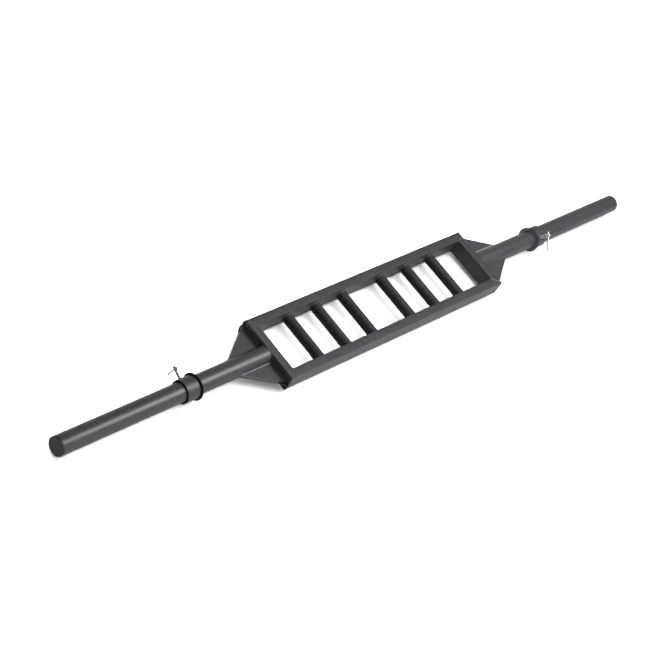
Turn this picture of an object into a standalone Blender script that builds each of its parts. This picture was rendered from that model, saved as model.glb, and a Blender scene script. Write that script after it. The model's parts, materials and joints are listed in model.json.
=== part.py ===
"""A multi-grip barbell: a flat frame of mitred rectangular tube with six parallel grips, a plate
sleeve on each end braced by two gusset plates, and on each sleeve a sliding collar that is clamped
by a T screw with a loose tommy bar. Metres, +Z up, +X along the bar, +Y towards the rear rail. The
origin is under the middle of the bar, level with the lowest point of the collar rings."""

import math

import bmesh
import bpy

# Fits
SEAT_GAP = 0.0003
SLIDE_GAP = 0.0005

# Whole bar
BAR_LENGTH = 2.200

# Frame
FRAME_LENGTH = 0.855
FRAME_WIDTH = 0.190
RAIL_WIDTH = 0.025
RAIL_HEIGHT = 0.050
RAIL_WALL = 0.003
RAIL_CORNER = 0.003
RAIL_INNER_CORNER = 0.001

# Grips
GRIP_DIAMETER = 0.030
GRIP_WALL = 0.003
CENTRE_GRIP_SPACING = 0.155
END_GRIP_SPACE = 0.118
GRIPS_PER_SIDE = 3

# Sleeves and end caps
SLEEVE_DIAMETER = 0.050
SLEEVE_WALL = 0.004
SLEEVE_EDGE = 0.001
CAP_RIM = 0.004
CAP_EDGE = 0.0022
CAP_SPIGOT = 0.015
CAP_SPIGOT_LEAD = 0.0015

# Gusset plates
GUSSET_THICKNESS = 0.006
GUSSET_REACH = 0.106
GUSSET_INSET = 0.0006
GUSSET_NOSE = 0.002
GUSSET_EDGE = 0.0005

# Collars
COLLAR_STATION = 0.698
COLLAR_TO_FRAME = 0.024
COLLAR_TO_END = 0.0185
COLLAR_WALL = 0.0045
COLLAR_EDGE = 0.0008
BUFFER_LENGTH = 0.0015
BUFFER_EDGE = 0.0004
WASHER_THICKNESS = 0.0016
WASHER_EDGE = 0.0003
RING_THICKNESS = 0.0052
RING_LIP = 0.002
RING_LENGTH = 0.004
RING_EDGE = 0.0006

# Clamp screws and tommy bars
SCREW_DIAMETER = 0.010
SCREW_REACH = 0.063
SCREW_POINT = 0.001
SCREW_DOME = 0.0018
TOMMY_LEVEL = 0.0555
TOMMY_DIAMETER = 0.005
TOMMY_LENGTH = 0.056
KNOB_DIAMETER = 0.0075
KNOB_LENGTH = 0.0057
KNOB_EDGE = 0.0016
KNOB_SOCKET = 0.004

# How each collar happens to stand: the screw's lean from straight up about the bar, and the turn of
# the screw about its own axis, both in degrees.
LEFT_SCREW_LEAN = -74.0
LEFT_SCREW_TURN = 78.0
RIGHT_SCREW_LEAN = 34.0
RIGHT_SCREW_TURN = -115.0

# Facets
CORNER_STEPS = 4
SLEEVE_STEPS = 64
GRIP_STEPS = 48
CAP_STEPS = 64
COLLAR_STEPS = 64
# The rings' facets are as wide as the patch where the rubber flattens on a floor.
RING_STEPS = 24
SCREW_STEPS = 32
TOMMY_STEPS = 24
EDGE_STEPS = 4
SHARP_ANGLE = math.radians(35.0)
WELD_DISTANCE = 1e-7

# Sizes that follow
LAST_GRIP = FRAME_LENGTH / 2 - RAIL_WIDTH - END_GRIP_SPACE
GRIP_PITCH = (LAST_GRIP - CENTRE_GRIP_SPACING / 2) / (GRIPS_PER_SIDE - 1)
SLEEVE_RADIUS = SLEEVE_DIAMETER / 2
SLEEVE_BORE = SLEEVE_RADIUS - SLEEVE_WALL
COLLAR_BORE = SLEEVE_RADIUS + SLIDE_GAP
COLLAR_RADIUS = COLLAR_BORE + COLLAR_WALL
RING_RADIUS = COLLAR_RADIUS + SEAT_GAP + RING_THICKNESS
RING_HALF_STEP = math.pi / RING_STEPS
AXIS_HEIGHT = RING_RADIUS * math.cos(RING_HALF_STEP)
WASHER_RADIUS = RING_RADIUS - RING_LIP - SEAT_GAP
WASHER_STEP = WASHER_THICKNESS + SEAT_GAP
TOMMY_RADIUS = TOMMY_DIAMETER / 2
TOMMY_HOLE_RADIUS = TOMMY_RADIUS + SEAT_GAP
TOMMY_SHORT_ARM = SCREW_DIAMETER / 2 + SEAT_GAP + KNOB_LENGTH

# Colours as linear red, green and blue, then roughness and metallic
PAINT = (0.080, 0.080, 0.083), 0.45, 0.25
GRIP_PAINT = (0.050, 0.050, 0.052), 0.60, 0.20
CAP_PLASTIC = (0.035, 0.035, 0.037), 0.50, 0.0
RUBBER = (0.010, 0.010, 0.011), 0.70, 0.0
CHROME = (0.700, 0.700, 0.720), 0.15, 1.0


def clear_scene():
    for obj in list(bpy.data.objects):
        bpy.data.objects.remove(obj)


def make_material(name, finish):
    colour, roughness, metallic = finish
    material = bpy.data.materials.new(name)
    material.use_nodes = True
    shader = material.node_tree.nodes["Principled BSDF"]
    shader.inputs["Base Color"].default_value = (*colour, 1.0)
    shader.inputs["Roughness"].default_value = roughness
    shader.inputs["Metallic"].default_value = metallic
    return material


def add_object(name, mesh):
    obj = bpy.data.objects.new(name, mesh)
    bpy.context.scene.collection.objects.link(obj)
    return obj


def add_empty(name, location, rotation):
    empty = bpy.data.objects.new(name, None)
    empty.location = location
    empty.rotation_euler = rotation
    bpy.context.scene.collection.objects.link(empty)
    return empty


def finish_mesh(name, bm, material):
    """Close the seams, turn every face outwards and shade the round faces smooth."""
    bmesh.ops.remove_doubles(bm, verts=bm.verts, dist=WELD_DISTANCE)
    bmesh.ops.recalc_face_normals(bm, faces=bm.faces)
    mesh = bpy.data.meshes.new(name)
    bm.to_mesh(mesh)
    bm.free()
    mesh.shade_smooth()
    mesh.set_sharp_from_angle(angle=SHARP_ANGLE)
    mesh.materials.append(material)
    return mesh


def arc(centre, radius, start, end, steps):
    """Points on an arc from one angle to another, in degrees, both ends included."""
    points = []
    for step in range(steps + 1):
        angle = math.radians(start + (end - start) * step / steps)
        points.append((centre[0] + radius * math.cos(angle), centre[1] + radius * math.sin(angle)))
    return points


def rounded_rectangle(width, height, radius):
    """The outline of a rectangle with round corners, about its centre."""
    across = width / 2 - radius
    up = height / 2 - radius
    corners = ((across, up, 0), (-across, up, 90), (-across, -up, 180), (across, -up, 270))
    points = []
    for y, z, start in corners:
        points += arc((y, z), radius, start, start + 90, CORNER_STEPS)
    return points


def turned(name, outline, steps, material, hollow=False):
    """An outline of (distance along X, radius) turned about the X axis.

    A hollow piece's outline closes on itself, and any other starts and ends on the axis."""
    bm = bmesh.new()
    verts = [bm.verts.new((along, 0.0, radius)) for along, radius in outline]
    edges = [bm.edges.new((a, b)) for a, b in zip(verts, verts[1:])]
    if hollow:
        edges.append(bm.edges.new((verts[-1], verts[0])))
    bmesh.ops.spin(
        bm,
        geom=edges,
        cent=(0, 0, 0),
        axis=(1, 0, 0),
        angle=2 * math.pi,
        steps=steps,
        use_merge=True,
    )
    return finish_mesh(name, bm, material)


def mitred_tube(name, outer_length, material):
    """A rectangular tube along X whose ends are cut at 45 degrees, with its longer side at +Y."""
    outer = rounded_rectangle(RAIL_WIDTH, RAIL_HEIGHT, RAIL_CORNER)
    inner = rounded_rectangle(
        RAIL_WIDTH - 2 * RAIL_WALL, RAIL_HEIGHT - 2 * RAIL_WALL, RAIL_INNER_CORNER
    )
    # Half the gap belongs to each of the two rails that meet at a mitre.
    half_centre_line = (outer_length - RAIL_WIDTH) / 2 - SEAT_GAP * math.sqrt(0.5)
    bm = bmesh.new()
    rings = []
    for end in (-1, 1):
        for outline in (outer, inner):
            rings.append([bm.verts.new((end * (half_centre_line + y), y, z)) for y, z in outline])
    near_outer, near_inner, far_outer, far_inner = rings
    for first, second in (
        (near_outer, far_outer),
        (near_inner, far_inner),
        (near_outer, near_inner),
        (far_outer, far_inner),
    ):
        for i in range(len(first)):
            j = (i + 1) % len(first)
            bm.faces.new((first[i], first[j], second[j], second[i]))
    return finish_mesh(name, bm, material)


def make_frame(paint):
    """Two long rails and two end rails, mitred at the corners."""
    long_rail = mitred_tube("long_rail", FRAME_LENGTH, paint)
    end_rail = mitred_tube("end_rail", FRAME_WIDTH, paint)
    from_middle = (FRAME_WIDTH - RAIL_WIDTH) / 2
    from_end = (FRAME_LENGTH - RAIL_WIDTH) / 2
    for name, mesh, place, turn in (
        ("rear_rail", long_rail, (0, from_middle), 0),
        ("front_rail", long_rail, (0, -from_middle), 180),
        ("left_end_rail", end_rail, (-from_end, 0), 90),
        ("right_end_rail", end_rail, (from_end, 0), -90),
    ):
        rail = add_object(name, mesh)
        rail.location = (*place, AXIS_HEIGHT)
        rail.rotation_euler = (0, 0, math.radians(turn))


def make_grips(paint):
    """Round tubes across the frame, three on each side of the middle."""
    half_length = FRAME_WIDTH / 2 - RAIL_WIDTH - SEAT_GAP
    radius = GRIP_DIAMETER / 2
    bore = radius - GRIP_WALL
    profile = [
        (-half_length, radius),
        (half_length, radius),
        (half_length, bore),
        (-half_length, bore),
    ]
    mesh = turned("grip", profile, GRIP_STEPS, paint, hollow=True)
    for side_name, side in (("left", -1), ("right", 1)):
        for number in range(GRIPS_PER_SIDE):
            grip = add_object(f"grip_{side_name}_{number + 1}", mesh)
            along = CENTRE_GRIP_SPACING / 2 + number * GRIP_PITCH
            grip.location = (side * along, 0, AXIS_HEIGHT)
            grip.rotation_euler = (0, 0, math.radians(90))


def make_sleeves(paint):
    """Plain round tubes, from the end rails out to the caps."""
    start = FRAME_LENGTH / 2 + SEAT_GAP
    end = BAR_LENGTH / 2 - CAP_RIM - SEAT_GAP
    profile = [
        (start, SLEEVE_RADIUS),
        (end - SLEEVE_EDGE, SLEEVE_RADIUS),
        (end, SLEEVE_RADIUS - SLEEVE_EDGE),
        (end, SLEEVE_BORE),
        (start, SLEEVE_BORE),
    ]
    mesh = turned("sleeve", profile, SLEEVE_STEPS, paint, hollow=True)
    for name, turn in (("left_sleeve", 180), ("right_sleeve", 0)):
        sleeve = add_object(name, mesh)
        sleeve.location = (0, 0, AXIS_HEIGHT)
        sleeve.rotation_euler = (0, 0, math.radians(turn))


def make_caps(plastic):
    """Plugs that close the sleeves: a rim as wide as the tube and a spigot inside it."""
    end = BAR_LENGTH / 2
    rim = end - CAP_RIM
    spigot_end = rim - CAP_SPIGOT
    spigot = SLEEVE_BORE - SEAT_GAP
    outline = [(spigot_end, 0), (spigot_end, spigot - CAP_SPIGOT_LEAD)]
    outline += [(spigot_end + CAP_SPIGOT_LEAD, spigot), (rim, spigot), (rim, SLEEVE_RADIUS)]
    outline += arc((end - CAP_EDGE, SLEEVE_RADIUS - CAP_EDGE), CAP_EDGE, 90, 0, EDGE_STEPS)
    outline += [(end, 0)]
    mesh = turned("end_cap", outline, CAP_STEPS, plastic)
    for name, turn in (("left_end_cap", 180), ("right_end_cap", 0)):
        cap = add_object(name, mesh)
        cap.location = (0, 0, AXIS_HEIGHT)
        cap.rotation_euler = (0, 0, math.radians(turn))


def make_gusset(name, side, across, paint):
    """A flat plate that runs from a corner of the frame out to the sleeve."""
    base = FRAME_LENGTH / 2 + SEAT_GAP
    tip = FRAME_LENGTH / 2 + GUSSET_REACH
    near_tube = SLEEVE_RADIUS + SEAT_GAP
    corner = FRAME_WIDTH / 2 - GUSSET_INSET
    outline = [(base, near_tube), (base, corner), (tip, near_tube + GUSSET_NOSE), (tip, near_tube)]
    bm = bmesh.new()
    bottom = [bm.verts.new((side * x, across * y, -GUSSET_THICKNESS / 2)) for x, y in outline]
    face = bm.faces.new(bottom)
    grown = bmesh.ops.extrude_face_region(bm, geom=[face])
    top = [item for item in grown["geom"] if isinstance(item, bmesh.types.BMVert)]
    bmesh.ops.translate(bm, verts=top, vec=(0, 0, GUSSET_THICKNESS))
    plate = add_object(name, finish_mesh(name, bm, paint))
    plate.location = (0, 0, AXIS_HEIGHT)
    bevel = plate.modifiers.new("edge", "BEVEL")
    bevel.width = GUSSET_EDGE
    bevel.segments = 1


def make_gussets(paint):
    for side_name, side in (("left", -1), ("right", 1)):
        for place_name, across in (("front", -1), ("rear", 1)):
            make_gusset(f"{side_name}_{place_name}_gusset", side, across, paint)


def ring_profile(start, end, inner, outer, edge):
    """A square ring section with its outer edges chamfered."""
    return [
        (start, inner),
        (start, outer - edge),
        (start + edge, outer),
        (end - edge, outer),
        (end, outer - edge),
        (end, inner),
    ]


def add_cutter(name, radius, start, end, parent, rotation, material):
    """A round cutter along its own X axis, which only the Boolean that uses it sees."""
    outline = [(start, 0), (start, radius), (end, radius), (end, 0)]
    cutter = add_object(name, turned(name, outline, SCREW_STEPS, material))
    cutter.parent = parent
    cutter.rotation_euler = rotation
    cutter.hide_render = True
    cutter.display_type = "WIRE"
    return cutter


def cut(obj, cutter):
    modifier = obj.modifiers.new("hole", "BOOLEAN")
    modifier.operation = "DIFFERENCE"
    modifier.object = cutter


def make_collar(side_name, turn, station, paint, rubber):
    """The collar's steel body with its screw hole, and the buffer on its outer end."""
    start = WASHER_STEP - COLLAR_TO_FRAME
    end = COLLAR_TO_END
    profile = ring_profile(start, end, COLLAR_BORE, COLLAR_RADIUS, COLLAR_EDGE)
    mesh = turned("collar", profile, COLLAR_STEPS, paint, hollow=True)
    body = add_object(f"{side_name}_collar", mesh)
    cutter = add_cutter(
        f"{side_name}_screw_hole",
        SCREW_DIAMETER / 2 + SEAT_GAP,
        0,
        COLLAR_RADIUS + COLLAR_WALL,
        station,
        (0, math.radians(-90), 0),
        paint,
    )
    cut(body, cutter)
    start = end + SEAT_GAP
    profile = ring_profile(start, start + BUFFER_LENGTH, COLLAR_BORE, COLLAR_RADIUS, BUFFER_EDGE)
    mesh = turned("buffer", profile, COLLAR_STEPS, rubber, hollow=True)
    buffer = add_object(f"{side_name}_buffer", mesh)
    for obj in (body, buffer):
        obj.parent = station
        obj.rotation_euler = (0, 0, math.radians(turn))


def make_washer(side_name, turn, centre, paint):
    """The steel washer on the collar's frame end, which holds the rubber ring on."""
    start = -COLLAR_TO_FRAME
    end = start + WASHER_THICKNESS
    profile = ring_profile(start, end, COLLAR_BORE, WASHER_RADIUS, WASHER_EDGE)
    mesh = turned("washer", profile, COLLAR_STEPS, paint, hollow=True)
    washer = add_object(f"{side_name}_washer", mesh)
    washer.parent = centre
    washer.rotation_euler = (0, 0, math.radians(turn))


def make_ring(side_name, turn, centre, rubber):
    """The rubber ring round the collar's frame end, with a lip round the washer.

    It is turned so that one of its facets is lowest."""
    start = -COLLAR_TO_FRAME
    body_seat = (COLLAR_RADIUS + SEAT_GAP) / math.cos(RING_HALF_STEP)
    washer_seat = (WASHER_RADIUS + SEAT_GAP) / math.cos(RING_HALF_STEP)
    profile = ring_profile(start, start + RING_LENGTH, body_seat, RING_RADIUS, RING_EDGE)
    profile[0] = (start, washer_seat)
    profile += [(start + WASHER_STEP, body_seat), (start + WASHER_STEP, washer_seat)]
    mesh = turned("ring", profile, RING_STEPS, rubber, hollow=True)
    ring = add_object(f"{side_name}_ring", mesh)
    ring.parent = centre
    ring.rotation_euler = (RING_HALF_STEP, 0, math.radians(turn))


def make_screw(side_name, turn, station, chrome):
    """A plain clamp screw with a blunt point on the sleeve and a hole across its head."""
    radius = SCREW_DIAMETER / 2
    point = SLEEVE_RADIUS + SEAT_GAP
    outline = [(point, 0), (point, radius - SCREW_POINT), (point + SCREW_POINT, radius)]
    outline += arc((SCREW_REACH - SCREW_DOME, radius - SCREW_DOME), SCREW_DOME, 90, 0, EDGE_STEPS)
    outline += [(SCREW_REACH, 0)]
    mesh = turned("clamp_screw", outline, SCREW_STEPS, chrome)
    upright = add_empty(f"{side_name}_screw_axis", (0, 0, 0), (0, 0, math.radians(turn)))
    upright.parent = station
    screw = add_object(f"{side_name}_clamp_screw", mesh)
    screw.parent = upright
    screw.rotation_euler = (0, math.radians(-90), 0)
    level = add_empty(f"{side_name}_tommy_axis", (0, 0, TOMMY_LEVEL), (0, 0, 0))
    level.parent = upright
    cutter = add_cutter(
        f"{side_name}_tommy_hole", TOMMY_HOLE_RADIUS, -2 * radius, 2 * radius, level, (0, 0, 0), chrome
    )
    cut(screw, cutter)
    return level


def knob_outline(face):
    """Half of a round-ended knob with a blind socket, from its socket's floor to its outer end."""
    radius = KNOB_DIAMETER / 2
    socket = TOMMY_RADIUS + SEAT_GAP
    outer_end = face + KNOB_LENGTH
    floor = face + KNOB_SOCKET
    outline = [(floor, 0), (floor, socket), (face, socket), (face, radius)]
    outline += arc((outer_end - KNOB_EDGE, radius - KNOB_EDGE), KNOB_EDGE, 90, 0, EDGE_STEPS)
    outline += [(outer_end, 0)]
    return outline


def make_tommy_bar(side_name, level, chrome):
    """A thin rod through the screw with a knob on each end. It has dropped until one knob stops it."""
    short_face = TOMMY_SHORT_ARM - KNOB_LENGTH
    long_face = TOMMY_LENGTH - TOMMY_SHORT_ARM - KNOB_LENGTH
    seat = KNOB_SOCKET - SEAT_GAP
    rod_start = -(short_face + seat)
    rod_end = long_face + seat
    outline = [(rod_start, 0), (rod_start, TOMMY_RADIUS), (rod_end, TOMMY_RADIUS), (rod_end, 0)]
    rod = add_object(f"{side_name}_tommy_bar", turned("tommy_bar", outline, TOMMY_STEPS, chrome))
    mesh = turned("lower_knob", knob_outline(long_face), TOMMY_STEPS, chrome)
    lower = add_object(f"{side_name}_lower_knob", mesh)
    mesh = turned("upper_knob", knob_outline(short_face), TOMMY_STEPS, chrome)
    upper = add_object(f"{side_name}_upper_knob", mesh)
    upper.rotation_euler = (0, 0, math.pi)
    for obj in (rod, lower, upper):
        obj.parent = level


def make_clamps(paint, rubber, chrome):
    for side_name, side, turn, lean, screw_turn in (
        ("left", -1, 180, LEFT_SCREW_LEAN, LEFT_SCREW_TURN),
        ("right", 1, 0, RIGHT_SCREW_LEAN, RIGHT_SCREW_TURN),
    ):
        place = (side * COLLAR_STATION, 0, AXIS_HEIGHT)
        centre = add_empty(f"{side_name}_collar_centre", place, (0, 0, 0))
        station = add_empty(f"{side_name}_collar_axis", (0, 0, 0), (math.radians(lean), 0, 0))
        station.parent = centre
        make_collar(side_name, turn, station, paint, rubber)
        make_washer(side_name, turn, centre, paint)
        make_ring(side_name, turn, centre, rubber)
        level = make_screw(side_name, screw_turn, station, chrome)
        make_tommy_bar(side_name, level, chrome)


def main():
    clear_scene()
    frame_paint = make_material("frame_paint", PAINT)
    sleeve_paint = make_material("sleeve_paint", PAINT)
    collar_paint = make_material("collar_paint", PAINT)
    grip_paint = make_material("grip_paint", GRIP_PAINT)
    cap_plastic = make_material("cap_plastic", CAP_PLASTIC)
    ring_rubber = make_material("ring_rubber", RUBBER)
    screw_chrome = make_material("screw_chrome", CHROME)
    make_frame(frame_paint)
    make_grips(grip_paint)
    make_sleeves(sleeve_paint)
    make_caps(cap_plastic)
    make_gussets(frame_paint)
    make_clamps(collar_paint, ring_rubber, screw_chrome)


main()
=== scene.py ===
"""Dresses the solids of a swiss bar: coats, weld beads, caps, rubber, threads and a pale studio."""

import json
import math
import bmesh
import bpy
from bpy.props import FloatProperty, FloatVectorProperty, IntProperty, PointerProperty
from mathutils import Matrix, Vector


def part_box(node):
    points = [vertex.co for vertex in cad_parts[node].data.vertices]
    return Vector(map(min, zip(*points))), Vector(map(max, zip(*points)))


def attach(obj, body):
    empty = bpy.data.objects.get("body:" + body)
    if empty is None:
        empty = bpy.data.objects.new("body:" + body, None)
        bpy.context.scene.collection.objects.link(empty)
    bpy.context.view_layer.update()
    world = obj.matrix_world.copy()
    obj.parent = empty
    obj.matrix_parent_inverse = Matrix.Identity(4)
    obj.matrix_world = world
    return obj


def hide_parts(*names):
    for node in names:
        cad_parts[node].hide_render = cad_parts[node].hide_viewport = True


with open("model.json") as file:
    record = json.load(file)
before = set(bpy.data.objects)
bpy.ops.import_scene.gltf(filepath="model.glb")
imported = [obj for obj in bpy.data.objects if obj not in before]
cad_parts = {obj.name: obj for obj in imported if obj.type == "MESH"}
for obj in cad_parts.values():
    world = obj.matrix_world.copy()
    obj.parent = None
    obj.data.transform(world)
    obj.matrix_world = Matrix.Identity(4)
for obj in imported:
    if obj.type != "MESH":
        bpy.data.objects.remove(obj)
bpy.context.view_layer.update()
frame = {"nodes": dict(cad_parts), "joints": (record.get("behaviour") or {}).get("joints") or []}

bl_info = {
    "name": "Swiss Bar",
    "version": (1, 0, 0),
    "blender": (4, 5, 0),
    "location": "3D View > Sidebar > Swiss Bar",
    "description": "Finishes a multi-grip barbell over its fixed solids",
    "category": "Object",
}

SIDES = {"left": -1, "right": 1}
RAILS = ("front_rail", "rear_rail", "left_end_rail", "right_end_rail")
GUSSETS = tuple(f"{side}_{row}_gusset" for side in SIDES for row in ("front", "rear"))
GRIPS = tuple(f"grip_{side}_{number}" for side in SIDES for number in (1, 2, 3))
FINISH_NAMES = {
    "frame_paint": "Charcoal Powder Coat",
    "sleeve_paint": "Charcoal Sleeve Coat",
    "collar_paint": "Charcoal Collar Coat",
    # Paler copy of the coat: painted light on the washer's shaded face
    "washer_painted_light": "Washer Coat With Painted Light",
    "weld_paint": "Coated Weld",
    # Paler copies of the coat: painted highlights on some welds and edges
    "painted_highlight_weld": "Weld With Painted Highlight",
    "strong_painted_highlight_weld": "Weld With Strong Painted Highlight",
    # Darker copy of the coat: painted shade at the nearest corner
    "painted_shade_weld": "Weld With Painted Shade",
    "grip_paint": "Textured Grip Coat",
    "cap_plastic": "Moulded Cap Plastic",
    "ring_rubber": "Black Rubber",
    "screw_chrome": "Bright Plating",
}

# The frame's four corners by their signs, the nearest first
CORNERS = [(x, y) for x in (-1, 1) for y in (-1, 1)]

# Bead radii of the welds that differ from the plain ones
FAR_HIGHLIGHT_BEAD = 0.0034
EDGE_BEAD = 0.0008
MITRE_BEAD = 0.0014
FAR_LUMP = 0.0046
NEAR_LUMP = 0.0030

# Where those welds start and stop, and the dark lens of painted shade
CORNER_INSET = 0.003
FAR_HIGHLIGHT_STOP = 0.012
MITRE_SINK = 0.0006
SLEEVE_FLAT = 0.0012
FAR_LUMP_INSET = 0.004
FAR_LUMP_SHARE = 0.16
NEAR_LUMP_TOP = 0.006
NEAR_LUMP_SHARE = 0.20
PAINTED_SHADE_PLACE = (0.0048, 0.0010)
PAINTED_SHADE_HALF_SIZES = (0.0052, 0.0007, 0.0062)

# Clearances and facets of the turned pieces
SKIN_GAP = 0.0001
RUBBER_CLEARANCE = 0.0005
MOULD_LINE = 0.0002
SPIGOT_INSET = 0.0043
CAP_RIM = 0.004
HEAD_LENGTH = 0.0075
ROD_CLEARANCE = 0.0002
KNOB_SHARE = 0.84
ROD_STEPS = 40
SCREW_STEPS = 48

# Each softbox: its place, the point that it faces, its width and its length
SOFTBOXES = {
    "key_softbox": ((0.69, -0.60, 1.8), (-0.2, 0.0, 0.0), 0.95, 1.2),
    "front_softbox": ((0.3, -2.6, 0.9), (0.2, 0.0, 0.0), 1.6, 0.8),
}

# Each distant light: where it shines from, and its width in degrees
SUNS = {
    "top_softbox": ((-0.25, -0.30, 1.0), 50),
    "rail_softbox": ((0.05, -0.35, 1.0), 70),
    "floor_softbox": ((0.36, 0.20, 1.0), 95),
}

# Floor, room and dust
FLOOR_HALF = 9.0
DIM_SIDE = (-0.93, 0.10, 0.35)
DUST_COLOUR = (0.45, 0.44, 0.42, 1)
GLOSSY_FILL = 0.12


# Places read from the solids
def middle(node):
    """The middle of a solid's box."""
    low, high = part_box(node)
    return (low + high) / 2


def reach(node, origin, direction):
    """How far a solid reaches from a point along a direction, as lowest and highest distance."""
    lengths = [(v.co - origin).dot(direction) for v in frame["nodes"][node].data.vertices]
    return min(lengths), max(lengths)


def joint(name):
    """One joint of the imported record."""
    return next(entry for entry in frame["joints"] if entry["name"] == name)


def screw_place(side):
    """The clamp screw's foot on the bar's axis, its direction, and the long arm of its tommy bar."""
    turn = joint(f"{side}_screw_turn")
    along = Vector(turn["axis"]).normalized()
    arm = -Vector(joint(f"{side}_tommy_slide")["axis"])
    arm = (arm - along * arm.dot(along)).normalized()
    return Vector(turn["pos_m"]), along, arm


def rod_place(side):
    """How high the tommy bar crosses its screw, and the rod's radius."""
    origin, along, _ = screw_place(side)
    low, high = reach(f"{side}_tommy_bar", origin, along)
    level = (low + high) / 2
    return level, high - level


AXIS_HEIGHT = middle("left_sleeve").z
BAR_AXIS = Vector((0, 0, AXIS_HEIGHT))
FRAME_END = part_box("right_end_rail")[1].x
FRAME_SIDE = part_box("rear_rail")[1].y
RAIL_WIDTH = FRAME_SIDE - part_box("rear_rail")[0].y
HALF_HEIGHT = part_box("rear_rail")[1].z - AXIS_HEIGHT
SLEEVE_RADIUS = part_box("left_sleeve")[1].z - AXIS_HEIGHT
GRIP_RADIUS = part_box("grip_left_1")[1].z - AXIS_HEIGHT
GUSSET_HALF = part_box("left_front_gusset")[1].z - AXIS_HEIGHT
GUSSET_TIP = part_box("right_front_gusset")[1].x


# Settings that a user would change
def colour(name, description, default):
    """A colour setting."""
    return FloatVectorProperty(
        name=name, description=description, subtype="COLOR", min=0, max=1, default=default
    )


def place(name, description, default):
    """A setting for a point in the room."""
    return FloatVectorProperty(name=name, description=description, subtype="TRANSLATION", default=default)


def number(name, description, default, subtype="NONE"):
    """A number setting, plain or a distance, share or angle."""
    return FloatProperty(name=name, description=description, subtype=subtype, default=default)


class SwissBarFinish(bpy.types.PropertyGroup):
    """The colours of the bar's finishes."""

    coat: colour("Coat", "Powder coat on the frame, sleeves and collars", (0.040, 0.040, 0.042))
    grip: colour("Grip Coat", "Darker, coarser coat on the hand grips", (0.021, 0.021, 0.0225))
    cap: colour("Cap Plastic", "Moulded plastic of the end caps", (0.022, 0.022, 0.024))
    rubber: colour("Rubber", "Rubber of the collar rings and buffers", (0.006, 0.006, 0.006))
    plating: colour("Plating", "Bright plating on the clamp screws and tommy bars", (0.50, 0.51, 0.53))
    floor: colour("Floor", "Pale floor under the bar", (0.93, 0.93, 0.93))


class SwissBarSize(bpy.types.PropertyGroup):
    """The sizes of the bar's fine detail."""

    bead_radius: number("Weld Bead Radius", "Radius of most of the weld beads", 0.0022, "DISTANCE")
    seam_radius: number("Seam Bead Radius", "Radius of the welds on the corners", 0.0030, "DISTANCE")
    seam_crown: number("Seam Crown", "How far a corner's bead stands proud of the rail", 0.0006, "DISTANCE")
    ripple_pitch: number("Ripple Pitch", "Distance between the ripples of a weld bead", 0.0022, "DISTANCE")
    ripple_height: number("Ripple Height", "Height of a ripple by the bead's radius", 0.16, "FACTOR")
    thread_pitch: number("Thread Pitch", "Distance between the screw thread's turns", 0.0015, "DISTANCE")
    thread_depth: number("Thread Depth", "Height of the thread over the screw's core", 0.0006, "DISTANCE")
    round_steps: IntProperty(name="Round Steps", description="Facets round each turned piece", default=96)


class SwissBarStudio(bpy.types.PropertyGroup):
    """The camera and the lights."""

    camera_place: place("Camera Place", "Where the camera stands", (-3.4715, -1.2503, 3.1883))
    camera_aim: place("Camera Aim", "The point that the camera looks at", (-0.1955, 0.0093, 0.0352))
    camera_roll: number("Camera Roll", "Tilt of the camera about its line of sight", 0.637, "ANGLE")
    camera_lens: number("Camera Lens", "Focal length in millimetres on a 36 mm sensor", 103.26)
    key_strength: number("Key Light", "Strength of the softbox that lights the sleeves", 48.0)
    top_strength: number("Top Light", "Strength of the wide light overhead", 0.72)
    rail_strength: number("Rail Light", "Strength of the wide light that falls on the rails alone", 3.0)
    front_strength: number("Front Light", "Strength of the low softbox before the near rail", 12.3)
    fill_strength: number("Room Fill", "Brightness of the room behind the white backdrop", 0.25)
    floor_lift: number("Floor Lift", "How much brighter the floor looks in reflections", 2.2)
    floor_whiteness: number("Floor Whiteness", "How much brighter the floor looks to the camera", 7.2)
    floor_strength: number("Floor Light", "Strength of the wide light that only meets the floor", 0.78)


# Nodes
def feed(tree, sockets, values):
    """Gives inputs, by name or number, another node's output or a plain value each."""
    for name, value in values.items():
        if isinstance(value, bpy.types.NodeSocket):
            tree.links.new(value, sockets[name])
        else:
            sockets[name].default_value = value


def add_node(tree, kind, inputs=None, **settings):
    """Adds a node with its settings, and its inputs by name or number, and returns its outputs."""
    node = tree.nodes.new(kind)
    for name, value in settings.items():
        setattr(node, name, value)
    feed(tree, node.inputs, inputs or {})
    return node.outputs


def new_tree(name, family, inputs, outputs):
    """A node group and the sockets inside it. Each input gives its kind or its default number."""
    tree = bpy.data.node_groups.new(name, f"{family}NodeTree")
    for direction, sockets in (("INPUT", inputs), ("OUTPUT", outputs)):
        for title, sort in sockets.items():
            kind = {int: "Int", float: "Float"}.get(type(sort), sort)
            socket = tree.interface.new_socket(title, in_out=direction, socket_type=f"NodeSocket{kind}")
            if kind != sort:
                socket.default_value = sort
    return tree, add_node(tree, "NodeGroupInput"), tree.nodes.new("NodeGroupOutput").inputs


def built(name, build):
    """A node group, which its function builds at the first call."""
    if name not in bpy.data.node_groups:
        build(name)
    return bpy.data.node_groups[name]


def noise(tree, where, scale, detail, roughness=0.5):
    """A noise texture on a vector."""
    inputs = {"Vector": where, "Scale": scale, "Detail": detail, "Roughness": roughness}
    return add_node(tree, "ShaderNodeTexNoise", inputs)["Fac"]


def maths(tree, operation, *values):
    """A math node fed by sockets or numbers."""
    return add_node(tree, "ShaderNodeMath", dict(enumerate(values)), operation=operation)[0]


def spread(tree, value, low, high):
    """Stretches a value so that a low level becomes 0 and a high one becomes 1."""
    inputs = {"Value": value, "From Min": low, "From Max": high}
    return add_node(tree, "ShaderNodeMapRange", inputs)[0]


def scaled_colour(tree, tone, level):
    """A colour made brighter or darker by a level."""
    inputs = {0: tone, "Scale": level}
    return add_node(tree, "ShaderNodeVectorMath", inputs, operation="SCALE")["Vector"]


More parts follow.
